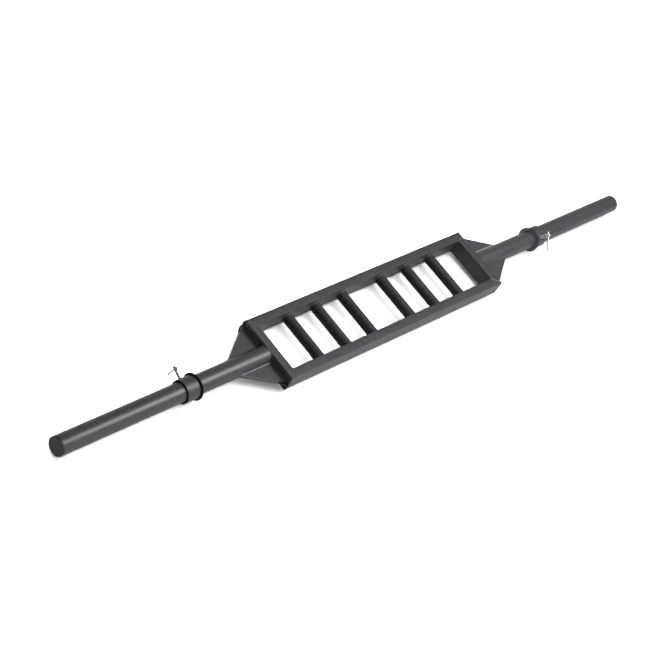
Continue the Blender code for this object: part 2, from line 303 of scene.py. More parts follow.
def coat_group(name):
    """Powder coat: fine grain, orange peel and mottling over a colour."""
    inputs = {
        "Place": "Vector",
        "Coat Colour": "Color",
        "Grain Scale": 2600.0,
        "Grain Strength": 0.25,
        "Peel Scale": 420.0,
        "Mottle Scale": 24.0,
        "Mottle Strength": 0.12,
        "Mottle Relief": 0.0,
        "Sheen Roughness": 0.40,
    }
    outputs = {"Coat": "Color", "Roughness": "Float", "Height": "Float"}
    tree, source, sink = new_tree(name, "Shader", inputs, outputs)
    where = source["Place"]
    grain = noise(tree, where, source["Grain Scale"], 2.0)
    peel = noise(tree, where, source["Peel Scale"], 1.0)
    mottle = spread(tree, noise(tree, where, source["Mottle Scale"], 5.0, 0.6), 0.32, 0.68)
    shade = maths(tree, "MULTIPLY_ADD", grain, source["Grain Strength"], 1.0)
    cloud = maths(tree, "MULTIPLY_ADD", mottle, source["Mottle Strength"], shade)
    level = maths(tree, "SUBTRACT", cloud, maths(tree, "MULTIPLY", source["Grain Strength"], 0.5))
    level = maths(tree, "SUBTRACT", level, maths(tree, "MULTIPLY", source["Mottle Strength"], 0.5))
    uneven = maths(tree, "MULTIPLY_ADD", mottle, 0.16, -0.08)
    rough_skin = maths(tree, "MULTIPLY", peel, 0.65)
    fine_skin = maths(tree, "MULTIPLY_ADD", grain, 0.35, rough_skin)
    values = {
        "Coat": scaled_colour(tree, source["Coat Colour"], level),
        "Roughness": maths(tree, "ADD", source["Sheen Roughness"], uneven),
        "Height": maths(tree, "MULTIPLY_ADD", mottle, source["Mottle Relief"], fine_skin),
    }
    feed(tree, sink, values)


def rub_group(name):
    """Rub marks: fine streaks along the bar where a collar and plates have slid."""
    inputs = {"Place": "Vector", "Streak Length": 5.0, "Streak Spacing": 900.0, "Amount": 0.5}
    tree, source, sink = new_tree(name, "Shader", inputs, {"Marks": "Float"})
    parts = add_node(tree, "ShaderNodeSeparateXYZ", {0: source["Place"]})
    stretched = {"X": maths(tree, "MULTIPLY", parts["X"], source["Streak Length"])}
    for axis in ("Y", "Z"):
        stretched[axis] = maths(tree, "MULTIPLY", parts[axis], source["Streak Spacing"])
    along = add_node(tree, "ShaderNodeCombineXYZ", stretched)[0]
    streaks = spread(tree, noise(tree, along, 1.0, 3.0, 0.6), 0.60, 0.74)
    patches = spread(tree, noise(tree, source["Place"], 14.0, 3.0), 0.45, 0.65)
    both = maths(tree, "MULTIPLY", streaks, patches)
    feed(tree, sink, {"Marks": maths(tree, "MULTIPLY", both, source["Amount"])})


def dust_group(name):
    """Dust: a thin pale film that lies in soft patches on what faces up."""
    inputs = {"Place": "Vector", "Patch Scale": 9.0, "Amount": 0.03}
    tree, source, sink = new_tree(name, "Shader", inputs, {"Film": "Float"})
    facing = add_node(tree, "ShaderNodeTexCoord")["Normal"]
    parts = add_node(tree, "ShaderNodeSeparateXYZ", {0: facing})
    upward = maths(tree, "MAXIMUM", parts["Z"], 0.0)
    patches = noise(tree, source["Place"], source["Patch Scale"], 6.0, 0.65)
    film = maths(tree, "MULTIPLY", upward, patches)
    feed(tree, sink, {"Film": maths(tree, "MULTIPLY", film, source["Amount"])})


# Finishes
def new_material(slot):
    """The tree, shader inputs and object coordinates of a slot's new material."""
    material = bpy.data.materials.new(FINISH_NAMES[slot])
    material.use_nodes = True
    tree = material.node_tree
    where = add_node(tree, "ShaderNodeTexCoord")["Object"]
    return tree, tree.nodes["Principled BSDF"].inputs, where


def shaded(tone, factor):
    """A colour made darker or paler."""
    return [factor * value for value in tone]


def placed_group(tree, group, where, **values):
    """The outputs of one use of a shader group in a material, with its own values."""
    inputs = {name.replace("_", " "): value for name, value in values.items()}
    return add_node(tree, "ShaderNodeGroup", {"Place": where, **inputs}, node_tree=group)


def mixed(tree, share, first, second):
    """A mix of two colours."""
    inputs = {"Factor": share, "A": first, "B": second}
    return add_node(tree, "ShaderNodeMix", inputs, data_type="RGBA")["Result"]


def bump(tree, height, strength, distance):
    """The normal that a height gives a surface."""
    inputs = {"Strength": strength, "Distance": distance, "Height": height}
    return add_node(tree, "ShaderNodeBump", inputs)["Normal"]


def add_skin(slot, tone, marks=0.0, dust=0.03, strength=0.5, relief=0.00012, gloss=0.5, **values):
    """A coat, plastic or rubber with grain, dust and, where pieces slide on it, rub marks."""
    tree, shader, where = new_material(slot)
    coat = built("Powder Coat Grain", coat_group)
    skin = placed_group(tree, coat, where, Coat_Colour=(*tone, 1), **values)
    film = placed_group(tree, built("Settled Dust", dust_group), where, Amount=dust)["Film"]
    roughness = skin["Roughness"]
    if marks:
        rub = placed_group(tree, built("Sliding Rub Marks", rub_group), where, Amount=marks)
        roughness = maths(tree, "SUBTRACT", roughness, rub["Marks"])
    inputs = {
        "Base Color": mixed(tree, film, skin["Coat"], DUST_COLOUR),
        "Roughness": roughness,
        "Specular IOR Level": gloss,
        "Normal": bump(tree, skin["Height"], strength, relief),
    }
    feed(tree, shader, inputs)


def add_plating(slot, tone):
    """Bright plating with a very fine grain and faint water spots."""
    tree, shader, where = new_material(slot)
    spots = noise(tree, where, 260.0, 4.0, 0.6)
    grain = noise(tree, where, 2400.0, 2.0)
    values = {
        "Base Color": mixed(tree, spots, (*shaded(tone, 0.86), 1), (*tone, 1)),
        "Metallic": 1.0,
        "Roughness": maths(tree, "MULTIPLY_ADD", spots, 0.14, 0.10),
        "Normal": bump(tree, grain, 0.15, 0.00003),
    }
    feed(tree, shader, values)


def make_finishes(finish):
    """Makes the bar's materials, named for their slots."""
    coat = finish.coat
    tube = {"Mottle_Scale": 280.0, "Mottle_Strength": 1.2, "Mottle_Relief": 0.9}
    # Finish values of the pale welds that carry painted highlights
    highlight_skin = {"Mottle_Scale": 160.0, "Mottle_Strength": 0.7, "Sheen_Roughness": 0.30}
    add_skin("frame_paint", coat, Mottle_Scale=260.0, Mottle_Strength=1.3, Mottle_Relief=2.4)
    add_skin("sleeve_paint", coat, marks=0.16, **tube)
    add_skin("collar_paint", coat, Peel_Scale=500.0, Sheen_Roughness=0.45, **tube)
    # The washer's coat, five times paler: painted light on a face the lamps leave in shade
    add_skin("washer_painted_light", shaded(coat, 5.0), Mottle_Scale=300.0, Mottle_Strength=0.6)
    add_skin("weld_paint", coat, Mottle_Scale=180.0, Mottle_Strength=0.3)
    # Pale copies of the coat, 3.4 and 8.5 times brighter: painted highlights on welds and gusset edges
    add_skin("painted_highlight_weld", shaded(coat, 3.4), **highlight_skin)
    add_skin("strong_painted_highlight_weld", shaded(coat, 8.5), **highlight_skin)
    # A dark copy of the coat: painted shade on the nearest corner's lumps and lens
    painted_shade_skin = {"Mottle_Scale": 240.0, "Mottle_Strength": 0.6, "Sheen_Roughness": 0.85}
    add_skin("painted_shade_weld", shaded(coat, 0.12), gloss=0.05, **painted_shade_skin)
    grain = {"Grain_Scale": 1500.0, "Grain_Strength": 0.5, "Peel_Scale": 700.0}
    cloud = {"Mottle_Scale": 280.0, "Mottle_Strength": 1.8, "Mottle_Relief": 1.0, "Sheen_Roughness": 0.5}
    add_skin("grip_paint", finish.grip, strength=0.8, relief=0.0003, gloss=0.24, **grain, **cloud)
    cap = {"Grain_Scale": 2200.0, "Peel_Scale": 1100.0, "Mottle_Strength": 0.08}
    add_skin("cap_plastic", finish.cap, Sheen_Roughness=0.55, **cap)
    rubber = {"Grain_Scale": 1800.0, "Peel_Scale": 260.0, "Mottle_Strength": 0.3}
    skin = {"dust": 0.015, "relief": 0.0001, "gloss": 0.2, "Sheen_Roughness": 0.72}
    add_skin("ring_rubber", finish.rubber, **skin, **rubber)
    add_plating("screw_chrome", finish.plating)


def finish_of(slot):
    """The material of a slot. The first call makes them all."""
    if FINISH_NAMES[slot] not in bpy.data.materials:
        make_finishes(bpy.context.scene.swiss_bar_finish)
    return bpy.data.materials[FINISH_NAMES[slot]]


# Objects and meshes
def new_object(name, data):
    """A new object in the scene."""
    made = bpy.data.objects.new(name, data)
    bpy.context.scene.collection.objects.link(made)
    return made


def new_piece(name, mesh, body, slot, replaced=(), finish=None):
    """A finished mesh as a piece that rides on a body, in its own finish or its slot's."""
    if not mesh.materials:
        mesh.materials.append(finish_of(finish or slot))
    piece = new_object(name, mesh)
    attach(piece, body)
    if replaced:
        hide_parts(*replaced)


def add_tree(target, tree, values):
    """Puts geometry nodes on an object, with inputs set by the identifiers of their names."""
    modifier = target.modifiers.new(tree.name, "NODES")
    modifier.node_group = tree
    for item in tree.interface.items_tree:
        if item.item_type == "SOCKET" and item.in_out == "INPUT" and item.name in values:
            modifier[item.identifier] = values[item.name]


def smooth_tree(name):
    """Geometry nodes that shade a solid smooth except over its sharp edges."""
    inputs = {"Solid": "Geometry", "Sharp Angle": math.radians(32)}
    tree, source, sink = new_tree(name, "Geometry", inputs, {"Solid": "Geometry"})
    inputs = {"Geometry": source["Solid"], "Distance": 0.000002}
    merged = add_node(tree, "GeometryNodeMergeByDistance", inputs)[0]
    faces = add_node(tree, "GeometryNodeSetShadeSmooth", {"Geometry": merged}, domain="FACE")[0]
    angle = add_node(tree, "GeometryNodeInputMeshEdgeAngle")["Unsigned Angle"]
    inputs = {"A": angle, "B": source["Sharp Angle"]}
    shallow = add_node(tree, "FunctionNodeCompare", inputs, operation="LESS_THAN")[0]
    inputs = {"Geometry": faces, "Shade Smooth": shallow}
    edges = add_node(tree, "GeometryNodeSetShadeSmooth", inputs, domain="EDGE")[0]
    feed(tree, sink, {"Solid": edges})


def paint_solid(node, slot, finish=None):
    """Gives a solid its finish and smooth shading, and leaves its mesh alone."""
    solid = frame["nodes"][node]
    solid.data.materials.clear()
    solid.data.materials.append(finish_of(finish or slot))
    add_tree(solid, built("Smooth Shallow Edges", smooth_tree), {})


def mesh_from(shape, name):
    """Turns a bmesh into a mesh."""
    mesh = bpy.data.meshes.new(name)
    shape.to_mesh(mesh)
    shape.free()
    return mesh


def evaluated_mesh(source, name):
    """The mesh that an object's modifiers make, as plain data, without the object."""
    bpy.context.view_layer.update()
    graph = bpy.context.evaluated_depsgraph_get()
    mesh = bpy.data.meshes.new_from_object(source.evaluated_get(graph))
    mesh.name = name
    bpy.data.objects.remove(source)
    return mesh


def turned_mesh(name, outline, steps, closed=False):
    """A shape turned about local X from points of distance along it and radius."""
    shape = bmesh.new()
    rings = []
    for along, radius in outline:
        if radius == 0:
            rings.append([shape.verts.new((along, 0, 0))])
            continue
        ring = []
        for step in range(steps):
            angle = 2 * math.pi * step / steps
            point = (along, radius * math.cos(angle), radius * math.sin(angle))
            ring.append(shape.verts.new(point))
        rings.append(ring)
    following = rings[1:] + rings[:1] if closed else rings[1:]
    for first, second in zip(rings, following):
        for step in range(steps):
            after = (step + 1) % steps
            if len(first) == 1:
                shape.faces.new((first[0], second[step], second[after]))
            elif len(second) == 1:
                shape.faces.new((first[step], second[0], first[after]))
            else:
                shape.faces.new((first[step], second[step], second[after], first[after]))
    bmesh.ops.recalc_face_normals(shape, faces=shape.faces)
    mesh = mesh_from(shape, name)
    mesh.shade_smooth()
    mesh.set_sharp_from_angle(angle=math.radians(40))
    return mesh


def rounded(corners, steps=5):
    """An outline with each corner rounded by its third number, and the ends left as they are."""
    points = []
    for index, corner in enumerate(corners):
        here = Vector(corner[:2])
        if index in (0, len(corners) - 1) or corner[2] == 0:
            points.append(tuple(here))
            continue
        size = corner[2]
        before = (Vector(corners[index - 1][:2]) - here).normalized()
        after = (Vector(corners[index + 1][:2]) - here).normalized()
        start, end = here + before * size, here + after * size
        for step in range(steps + 1):
            share = step / steps
            first = start.lerp(here, share)
            second = here.lerp(end, share)
            points.append(tuple(first.lerp(second, share)))
    return points


def frame_matrix(origin, along, across):
    """A matrix that puts local X along one direction and local Y along another."""
    along, across = along.normalized(), across.normalized()
    turn = Matrix((along, across, along.cross(across))).transposed()
    return Matrix.Translation(origin) @ turn.to_4x4()


def along_bar(sign):
    """A matrix that puts local X on the bar's axis, outward on one side."""
    return frame_matrix(BAR_AXIS, Vector((sign, 0, 0)), Vector((0, 1, 0)))


# Trees for the beads and the thread
def swept(tree, curve, sides, size):
    """Sweeps a circle of so many sides along a curve, with a size for each point."""
    inputs = {"Resolution": sides, "Radius": 1.0}
    circle = add_node(tree, "GeometryNodeCurvePrimitiveCircle", inputs)["Curve"]
    inputs = {"Curve": curve, "Profile Curve": circle, "Scale": size, "Fill Caps": True}
    return add_node(tree, "GeometryNodeCurveToMesh", inputs)["Mesh"]


def end_tree(tree, geometry, finish, sink):
    """Ends a tree in real geometry with one finish."""
    real = add_node(tree, "GeometryNodeRealizeInstances", {0: geometry})[0]
    inputs = {"Geometry": real, "Material": finish}
    feed(tree, sink, {0: add_node(tree, "GeometryNodeSetMaterial", inputs)[0]})


def bead_tree(name):
    """Geometry nodes that run a rippled weld bead along every line of a mesh."""
    inputs = {
        "Seams": "Geometry",
        "Bead Radius": "Float",
        "Ripple Pitch": "Float",
        "Ripple Height": "Float",
        "Hand Wander": "Float",
        "Bead Sides": 14,
        "Finish": "Material",
    }
    tree, source, sink = new_tree(name, "Geometry", inputs, {"Beads": "Geometry"})
    curve = add_node(tree, "GeometryNodeMeshToCurve", {"Mesh": source["Seams"]})[0]
    inputs = {"Curve": curve, "Length": maths(tree, "DIVIDE", source["Ripple Pitch"], 4.0)}
    points = add_node(tree, "GeometryNodeResampleCurve", inputs, mode="LENGTH")[0]
    run = add_node(tree, "GeometryNodeSplineParameter")["Length"]
    share = maths(tree, "FRACT", maths(tree, "DIVIDE", run, source["Ripple Pitch"]))
    centred = maths(tree, "MULTIPLY_ADD", share, 2.0, -1.0)
    crest = maths(tree, "SUBTRACT", 0.5, maths(tree, "MULTIPLY", centred, centred))
    ripple = maths(tree, "MULTIPLY_ADD", crest, source["Ripple Height"], 1.0)
    where = add_node(tree, "GeometryNodeInputPosition")[0]
    swing = maths(tree, "SUBTRACT", noise(tree, where, 140.0, 2.0), 0.5)
    size = maths(tree, "MULTIPLY_ADD", swing, source["Hand Wander"], ripple)
    radius = maths(tree, "MULTIPLY", size, source["Bead Radius"])
    beads = swept(tree, points, source["Bead Sides"], radius)
    smooth = add_node(tree, "GeometryNodeSetShadeSmooth", {"Geometry": beads})[0]
    end_tree(tree, smooth, source["Finish"], sink)


def thread_tree(name):
    """Geometry nodes that wind a thread ridge onto a turned screw core along X."""
    inputs = {
        "Core": "Geometry",
        "Thread Start": "Float",
        "Thread Length": "Float",
        "Thread Pitch": "Float",
        "Thread Depth": "Float",
        "Core Radius": "Float",
        "Taper Rate": 14.0,
        "Finish": "Material",
    }
    tree, source, sink = new_tree(name, "Geometry", inputs, {"Screw": "Geometry"})
    inputs = {
        "Resolution": 28,
        "Rotations": maths(tree, "DIVIDE", source["Thread Length"], source["Thread Pitch"]),
        "Start Radius": source["Core Radius"],
        "End Radius": source["Core Radius"],
        "Height": source["Thread Length"],
    }
    spiral = add_node(tree, "GeometryNodeCurveSpiral", inputs)[0]
    upright = add_node(tree, "GeometryNodeSetCurveNormal", {"Curve": spiral}, mode="Z_UP")[0]
    run = add_node(tree, "GeometryNodeSplineParameter")["Factor"]
    near = maths(tree, "MULTIPLY", run, source["Taper Rate"])
    far = maths(tree, "MULTIPLY", maths(tree, "SUBTRACT", 1.0, run), source["Taper Rate"])
    taper = maths(tree, "MINIMUM", maths(tree, "MINIMUM", near, far), 1.0)
    taper = maths(tree, "MAXIMUM", taper, 0.15)
    size = maths(tree, "MULTIPLY", taper, source["Thread Depth"])
    start = add_node(tree, "ShaderNodeCombineXYZ", {"X": source["Thread Start"]})[0]
    inputs = {
        "Geometry": swept(tree, upright, 4, size),
        "Translation": start,
        "Rotation": (0, math.pi / 2, 0),
    }
    lay = add_node(tree, "GeometryNodeTransform", inputs)[0]
    inputs = {"Geometry": lay, "Shade Smooth": False}
    flat = add_node(tree, "GeometryNodeSetShadeSmooth", inputs)[0]
    join = tree.nodes.new("GeometryNodeJoinGeometry")
    for part in (flat, source["Core"]):
        feed(tree, join.inputs, {0: part})
    end_tree(tree, join.outputs[0], source["Finish"], sink)


# Weld beads
def add_beads(name, seams, radius, closed=False, finish="weld_paint", wander=0.16):
    """Weld beads along seams, each a list of points that may close on itself."""
    size = bpy.context.scene.swiss_bar_size
    shape = bmesh.new()
    for points in seams:
        line = [shape.verts.new(point) for point in points]
        following = line[1:] + line[:1] if closed else line[1:]
        for first, second in zip(line, following):
            shape.edges.new((first, second))
    source = new_object(f"{name}_seams", mesh_from(shape, f"{name}_seams"))
    values = {
        "Bead Radius": radius,
        "Ripple Pitch": size.ripple_pitch,
        "Ripple Height": size.ripple_height,
        "Hand Wander": wander,
        "Finish": finish_of(finish),
    }
    add_tree(source, built("Weld Bead", bead_tree), values)
    new_piece(name, evaluated_mesh(source, name), "frame", "frame_paint")


def corner_seams(size):
    """Loops over the four mitred corners: top, outer edge, bottom and inner corner."""
    top = HALF_HEIGHT - (size.seam_radius - size.seam_crown)
    inner, outer, bend = -0.0002, RAIL_WIDTH - 0.0016, 0.0015
    upper = [(inner, top - bend), (inner + bend, top), (outer - bend, top), (outer, top - bend)]
    loop = upper + [(out, -up) for out, up in reversed(upper)]
    seams = []
    for x_sign, y_sign in CORNERS:
        points = []
        for out, up in loop:
            x = x_sign * (FRAME_END - RAIL_WIDTH + out)
            y = y_sign * (FRAME_SIDE - RAIL_WIDTH + out)
            points.append((x, y, AXIS_HEIGHT + up))
        seams.append(points)
    return seams


def ring_seam(centre, radius, across, limit=1.0, steps=72):
    """A closed upright seam round a tube, level along one direction, flattened past a limit."""
    points = []
    for step in range(steps):
        angle = 2 * math.pi * step / steps
        up = max(-limit, min(limit, radius * math.sin(angle)))
        points.append(centre + across * (radius * math.cos(angle)) + Vector((0, 0, up)))
    return points


def gusset_seams(corners, part):
    """Seams on both faces of gussets, along the rail or along the sleeve and the gusset's tip."""
    seams = []
    for x_sign, y_sign in corners:
        side = y_sign * math.sqrt(SLEEVE_RADIUS**2 - GUSSET_HALF**2)
        end, tip = x_sign * FRAME_END, x_sign * (GUSSET_TIP + 0.0004)
        outer = y_sign * (FRAME_SIDE - CORNER_INSET)
        for level in (AXIS_HEIGHT + GUSSET_HALF, AXIS_HEIGHT - GUSSET_HALF):
            if part == "rail":
                seams.append([(end, outer, level), (end, side, level)])
            else:
                seams.append([(end, side, level), (tip, side, level), (tip, side, AXIS_HEIGHT)])
    return seams


def free_edges(node):
    """The two long free edges of a gusset, from its root at the frame's corner to its tip."""
    points = [vertex.co for vertex in frame["nodes"][node].data.vertices]
    root = max(points, key=lambda point: abs(point.y) - 0.01 * abs(point.x))
    tip = max(points, key=lambda point: abs(point.x) + 0.01 * abs(point.y))
    edges = []
    for up in (1, -1):
        level = AXIS_HEIGHT + up * (GUSSET_HALF - 0.0004)
        edges.append([(root.x, root.y, level), (tip.x, tip.y, level)])
    return edges


def edge_start(node, share):
    """The first share of a gusset's upper free edge, from the frame's corner."""
    root, tip = free_edges(node)[0]
    return [root, [a + (b - a) * share for a, b in zip(root, tip)]]


def corner_edge(y_sign, high, low):
    """A run down the outer edge of a left corner of the frame, slightly off straight."""
    points = []
    for step in range(9):
        share = step / 8
        sway = 0.0007 * math.sin(9.0 * share)
        x = 0.0012 - FRAME_END - sway
        y = y_sign * (FRAME_SIDE - 0.0016 - sway)
        points.append((x, y, AXIS_HEIGHT + high + (low - high) * share))
    return points


def lens_mesh(name, centre, half_sizes, steps=28):
    """A small closed lens, as of a drop of weld metal or a dark patch of painted shade."""
    turns = [2 * math.pi * step / steps for step in range(1, steps // 2)]
    outline = [(1, 0), *((math.cos(turn), math.sin(turn)) for turn in turns), (-1, 0)]
    mesh = turned_mesh(name, outline, steps)
    for vertex in mesh.vertices:
        point = vertex.co.yzx
        bulge = 1.0 + 0.12 * math.sin(5.0 * point.x + 3.0 * point.z)
        vertex.co = [c + p * half * bulge for c, p, half in zip(centre, point, half_sizes)]
    return mesh


# Clamp screws
def screw_mesh(side, size):
    """A clamp screw along local X: blunt point, thread, plain head with a hole across it."""
    origin, along, arm = screw_place(side)
    node = f"{side}_clamp_screw"
    point, end = reach(node, origin, along)
    radius = reach(node, origin, arm)[1]
    core = radius - size.thread_depth
    hole, rod = rod_place(side)
    rod += ROD_CLEARANCE
    neck = hole - HEAD_LENGTH
    corners = [
        (point, 0),
        (point, core - 0.0008, 0.0002),
        (point + 0.0008, core, 0.0002),
        (neck - 0.0006, core, 0.0002),
        (neck, radius, 0.0002),
        (end - 0.0018, radius, 0.0012),
        (end - 0.0003, radius - 0.0022, 0.0012),
        (end, 0),
    ]
    screw = new_object(f"{node}_core", turned_mesh(node, rounded(corners), SCREW_STEPS))
    outline = [(-0.01, 0), (-0.01, rod), (0.01, rod), (0.01, 0)]
    drill = new_object("drill", turned_mesh("drill", outline, ROD_STEPS))
    drill.data.transform(frame_matrix(Vector((hole, 0, 0)), Vector((0, 1, 0)), Vector((0, 0, 1))))
    cut = screw.modifiers.new("cross_hole", "BOOLEAN")
    cut.object = drill
    cut.solver = "EXACT"
    values = {
        "Thread Start": point + 0.0012,
        "Thread Length": neck - point - 0.0026,
        "Thread Pitch": size.thread_pitch,
        "Thread Depth": size.thread_depth,
        "Core Radius": core,
        "Finish": finish_of("screw_chrome"),
    }
    add_tree(screw, built("Screw Thread", thread_tree), values)
    made = evaluated_mesh(screw, node)
    bpy.data.objects.remove(drill)
    made.transform(frame_matrix(origin, along, arm))
    return made


def knob_outline(near, far, radius, rod):
    """A small rounded barrel knob with a neck against the rod, whichever way it faces."""
    length = abs(far - near)
    sign = 1 if far > near else -1
    corners = [
        (0, 0),
        (0, rod + 0.0003, 0),
        (0.0004, radius - 0.0004, 0.0006),
        (0.0016, radius, 0.0008),
        (length - 0.0016, radius, 0.0010),
        (length - 0.0002, radius - 0.0016, 0.0010),
        (length, 0),
    ]
    return [(near + sign * x, r) for x, r in rounded(corners)]


# Operators
class SWISSBAR_OT_frame_coat(bpy.types.Operator):
    """Coats the rails, gussets, sleeves and collars."""

    bl_idname = "swissbar.frame_coat"
    bl_label = "Coat Frame and Sleeves"

    def execute(self, context):
        for node in RAILS + GUSSETS:
            paint_solid(node, "frame_paint")
        for side in SIDES:
            paint_solid(f"{side}_sleeve", "sleeve_paint")
            paint_solid(f"{side}_collar", "collar_paint")
            # Each washer gets the paler coat: painted light on its shaded face
            paint_solid(f"{side}_washer", "collar_paint", "washer_painted_light")
        return {"FINISHED"}


class SWISSBAR_OT_grips(bpy.types.Operator):
    """Coats the six hand grips with the darker textured coat."""

    bl_idname = "swissbar.grips"
    bl_label = "Coat Hand Grips"

    def execute(self, context):
        for node in GRIPS:
            paint_solid(node, "grip_paint")
        return {"FINISHED"}


class SWISSBAR_OT_welds(bpy.types.Operator):
    """Runs weld beads over every joint of the frame."""

    bl_idname = "swissbar.welds"
    bl_label = "Run Weld Beads"

    def execute(self, context):
        size = context.scene.swiss_bar_size
        add_beads("corner_welds", corner_seams(size), size.seam_radius, closed=True)
        self.ring_welds(size.bead_radius)
        self.gusset_welds(size.bead_radius)
        self.build_up()
        return {"FINISHED"}

    def ring_welds(self, radius):
        """Welds round the ends of the grips and the roots of the sleeves."""
        seams = []
        for node in GRIPS:
            for y_sign in (-1, 1):
                end = Vector((middle(node).x, y_sign * (FRAME_SIDE - RAIL_WIDTH), AXIS_HEIGHT))
                seams.append(ring_seam(end, GRIP_RADIUS, Vector((1, 0, 0))))
        add_beads("grip_welds", seams, radius, closed=True)
        seams = []
        for sign in SIDES.values():
            end = Vector((sign * FRAME_END, 0, AXIS_HEIGHT))
            limit = SLEEVE_RADIUS - SLEEVE_FLAT
            seams.append(ring_seam(end, SLEEVE_RADIUS, Vector((0, 1, 0)), limit))
        add_beads("sleeve_welds", seams, radius, closed=True)

    def gusset_welds(self, radius):
        """Welds along the gussets; the nearest and farthest sleeve welds and the gussets' free edges are
        pale, with painted highlights.
        """
        add_beads("gusset_rail_welds", gusset_seams(CORNERS, "rail"), radius)
        add_beads("gusset_sleeve_welds", gusset_seams(CORNERS[1:], "sleeve"), radius)
        # The nearest sleeve weld is pale: a painted highlight along its seam
        seams = gusset_seams(CORNERS[:1], "sleeve")
        add_beads("near_sleeve_weld", seams, radius, finish="painted_highlight_weld")
        # The far sleeve weld, thick and very pale: a painted highlight where the far gusset meets the
        # sleeve
        start, stop, _ = gusset_seams([(1, 1)], "sleeve")[0]
        stop = (stop[0] - FAR_HIGHLIGHT_STOP, *stop[1:])
        add_beads("far_sleeve_weld", [(start, stop)], FAR_HIGHLIGHT_BEAD, finish="strong_painted_highlight_weld")
        # Thin pale beads on the gussets' free edges: painted highlights
        seams = [seam for node in GUSSETS for seam in free_edges(node)]
        add_beads("gusset_edges", seams, EDGE_BEAD, finish="painted_highlight_weld", wander=0.5)

    def build_up(self):
        """More weld metal on three of the frame's corners: a pale run at the near right with a painted
        highlight, a lump at the far left, and at the near left a lump and a dark lens that are painted
        shade.
        """
        level = AXIS_HEIGHT + HALF_HEIGHT - MITRE_SINK
        inner = (FRAME_END - RAIL_WIDTH, RAIL_WIDTH - FRAME_SIDE, level)
        outer = (FRAME_END - CORNER_INSET, CORNER_INSET - FRAME_SIDE, level)
        # A pale run on the near right mitre: a painted highlight
        add_beads("near_mitre_run", [(inner, outer)], MITRE_BEAD, finish="painted_highlight_weld", wander=0.3)
        seams = [
            corner_edge(1, HALF_HEIGHT - FAR_LUMP_INSET, FAR_LUMP_INSET),
            edge_start("left_rear_gusset", FAR_LUMP_SHARE),
        ]
        add_beads("far_corner_build_up", seams, FAR_LUMP, wander=1.4)
        # The near left lumps are dark: painted shade where the gusset meets the corner
        seams = [
            edge_start("left_front_gusset", NEAR_LUMP_SHARE),
            corner_edge(-1, NEAR_LUMP_TOP, CORNER_INSET - HALF_HEIGHT),
        ]
        add_beads("near_corner_build_up", seams, NEAR_LUMP, finish="painted_shade_weld", wander=1.0)
        # A dark lens on the near left corner: painted shade where the seam lies in shadow
        inward, up = PAINTED_SHADE_PLACE
        centre = Vector((inward - FRAME_END, -FRAME_SIDE, AXIS_HEIGHT + up))
        mesh = lens_mesh("painted_shade_weld", centre, PAINTED_SHADE_HALF_SIZES)
        new_piece("painted_shade_weld", mesh, "frame", "frame_paint", finish="painted_shade_weld")


class SWISSBAR_OT_end_caps(bpy.types.Operator):
    """Turns the two moulded end caps, each with a rounded rim and a shallow dish."""

    bl_idname = "swissbar.end_caps"
    bl_label = "Make End Caps"

    def execute(self, context):
        steps = context.scene.swiss_bar_size.round_steps
        spigot = SLEEVE_RADIUS - SPIGOT_INSET
        for side, sign in SIDES.items():
            node = f"{side}_end_cap"
            near, far = reach(node, BAR_AXIS, Vector((sign, 0, 0)))
            # Spigot, rim and dish, by distance along the bar, radius and rounding
            corners = [
                (near, 0),
                (near, spigot, 0.0012),
                (far - CAP_RIM, spigot, 0),
                (far - CAP_RIM, SLEEVE_RADIUS, 0.0004),
                (far, SLEEVE_RADIUS, 0.0024),
                (far, 0.0192, 0.0006),
                (far - 0.0007, 0.0182, 0.0006),
                (far - 0.0003, 0.008, 0.004),
                (far - 0.0002, 0),
            ]
            mesh = turned_mesh(node, rounded(corners), steps)
            mesh.transform(along_bar(sign))
            new_piece(f"{side}_cap", mesh, "frame", "cap_plastic", [node])
        return {"FINISHED"}


class SWISSBAR_OT_collar_ends(bpy.types.Operator):
    """Turns each collar's rubber ring and buffer and its outer rim."""

    bl_idname = "swissbar.collar_ends"
    bl_label = "Make Collar Ends"

    def execute(self, context):
        steps = context.scene.swiss_bar_size.round_steps
        bore = SLEEVE_RADIUS + RUBBER_CLEARANCE
        for side, sign in SIDES.items():
            outward = Vector((sign, 0, 0))
            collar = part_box(f"{side}_collar")[1].y
            seat = collar + SKIN_GAP
            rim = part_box(f"{side}_washer")[1].y + SKIN_GAP
            behind = reach(f"{side}_washer", BAR_AXIS, outward)[1] + SKIN_GAP
            near, far = reach(f"{side}_ring", BAR_AXIS, outward)
            lip = near + 0.4 * (far - near)
            # Each ring stands on the ground, so the axis height is its radius
            ring = [
                (far - 0.0005, seat),
                (behind, seat, 0),
                (behind, rim, 0),
                (near, rim, 0.0003),
                (near, AXIS_HEIGHT, 0.0005),
                (lip, AXIS_HEIGHT, 0.0005),
                (far, collar + 0.0024, 0.0004),
                (far, seat, 0.0002),
                (far - 0.0004, seat),
            ]
            near, far = reach(f"{side}_buffer", BAR_AXIS, outward)
            back, front, low = near - 0.0008, far - 0.0003, collar - 0.0004
            edge = [(back, low), (back, collar, 0), (front, collar, 0.0002), (front, low)]
            half = (near + far) / 2
            outer = collar - 0.0006
            skin = outer - SKIN_GAP
            buffer = [
                (half, bore),
                (near, bore, 0.0002),
                (near, skin, 0.0004),
                (half - MOULD_LINE, skin, 0),
                (half, outer, 0),
                (half + MOULD_LINE, skin, 0),
                (far, skin, 0.0004),
                (far, bore, 0.0002),
                (half + 0.0001, bore),
            ]
            for name, outline, slot, replaced in (
                ("rubber_ring", ring, "ring_rubber", [f"{side}_ring"]),
                ("rubber_buffer", buffer, "ring_rubber", [f"{side}_buffer"]),
                ("end_rim", edge, "collar_paint", []),
            ):
                mesh = turned_mesh(f"{side}_{name}", rounded(outline), steps, closed=True)
                mesh.transform(along_bar(sign))
                new_piece(f"{side}_{name}", mesh, f"{side}_collar", slot, replaced)
        return {"FINISHED"}


